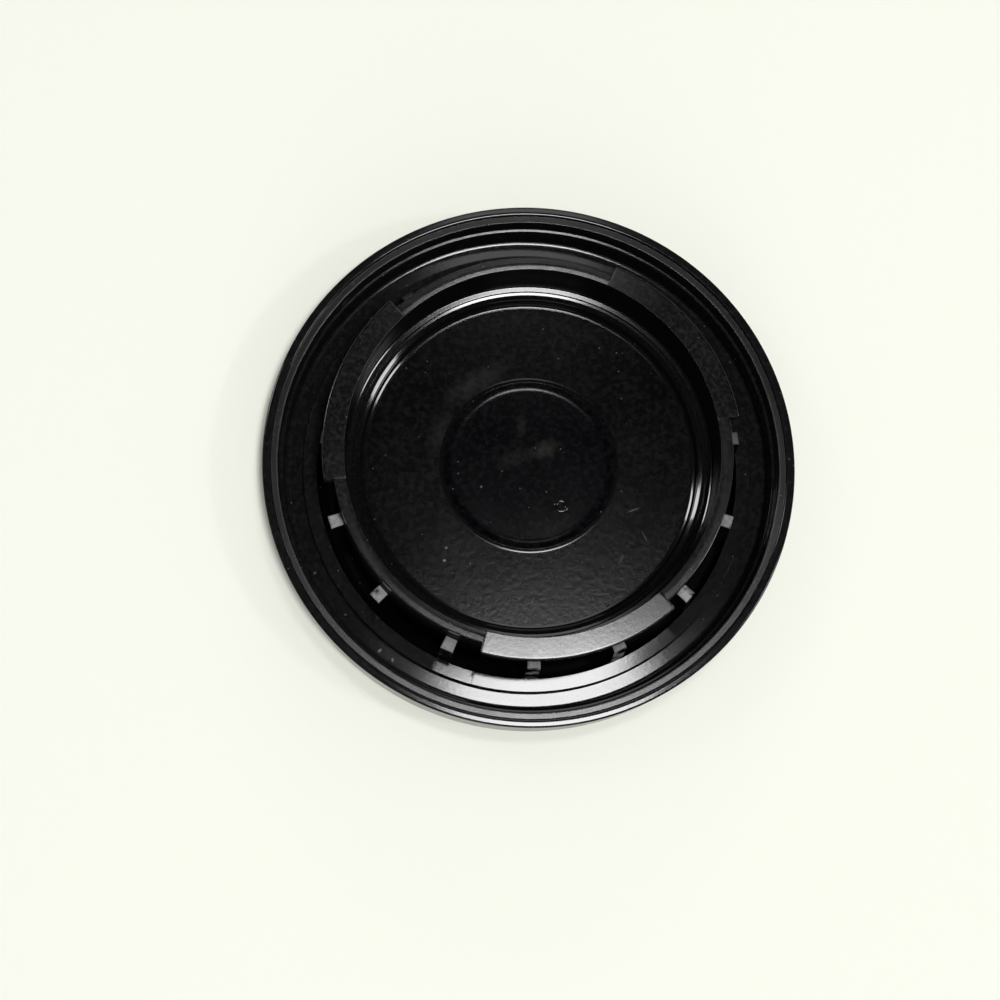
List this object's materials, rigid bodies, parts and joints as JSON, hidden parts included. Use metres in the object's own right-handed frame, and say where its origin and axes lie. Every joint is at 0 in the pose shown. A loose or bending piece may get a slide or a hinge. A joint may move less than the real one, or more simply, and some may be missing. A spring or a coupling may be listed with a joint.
{
  "type": "camera body cap",
  "caption": "Round moulded cap that covers a camera's lens opening: a stepped skirt around a raised collar with bayonet lugs and ribs, open on the inner side.",
  "frame": {"origin": "middle of the outer face, on the surface that the cap rests on", "axes": "+Z along the cap's axis, out of the open side with the bayonet collar; +X and +Y across the cap, with a lug a little to the right of -Y"},
  "size_m": [0.062, 0.062, 0.0134],
  "materials": {
    "black_plastic": "satin moulded black, with a fine matte grain on the floor inside the collar"
  },
  "bodies": {
    "root": {"body_cap": "black_plastic"}
  },
  "joints": []
}
